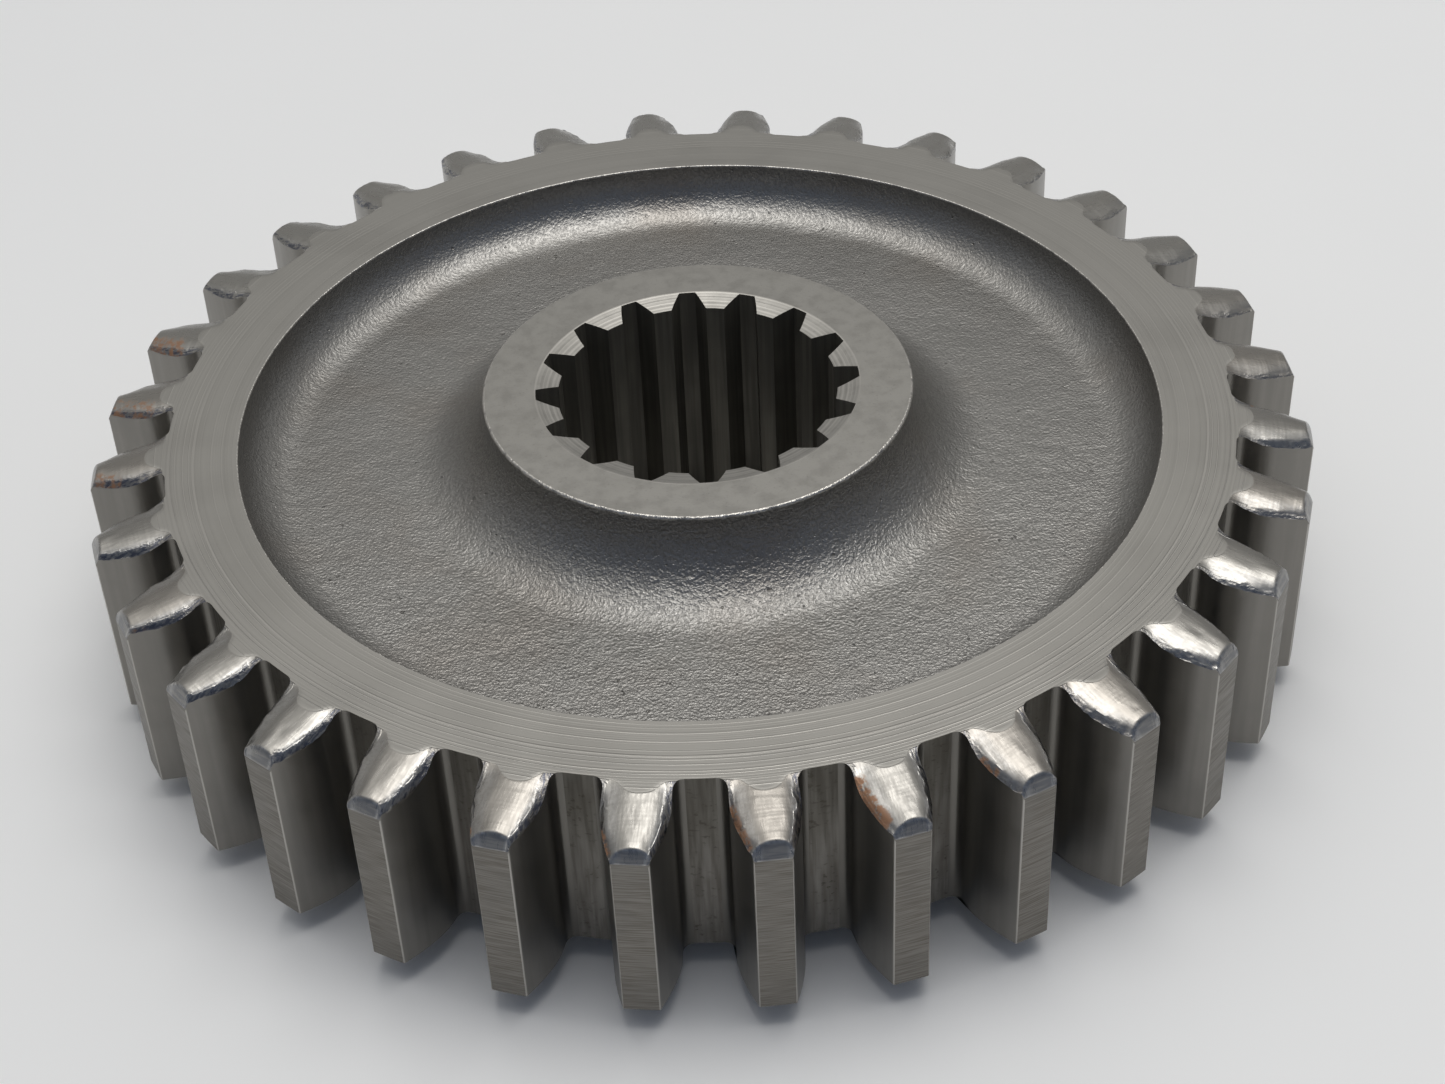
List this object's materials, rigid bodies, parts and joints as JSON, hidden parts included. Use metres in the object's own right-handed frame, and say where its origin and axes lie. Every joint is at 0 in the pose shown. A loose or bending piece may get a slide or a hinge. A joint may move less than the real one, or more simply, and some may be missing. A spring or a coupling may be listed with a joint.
{
  "type": "sliding gear",
  "caption": "One-piece spur gear with a dished web and splined hub bore; its upper tooth ends are rounded so it can slide along a shaft into mesh.",
  "frame": {"origin": "centre of the bore at the lower hub face", "axes": "+Z along the bore, towards the side with the rounded tooth ends; +X through the middle of a tooth"},
  "size_m": [0.2158, 0.2158, 0.046],
  "materials": {
    "gear_steel": "satin"
  },
  "bodies": {
    "root": {"sliding_gear": "gear_steel"}
  },
  "joints": []
}
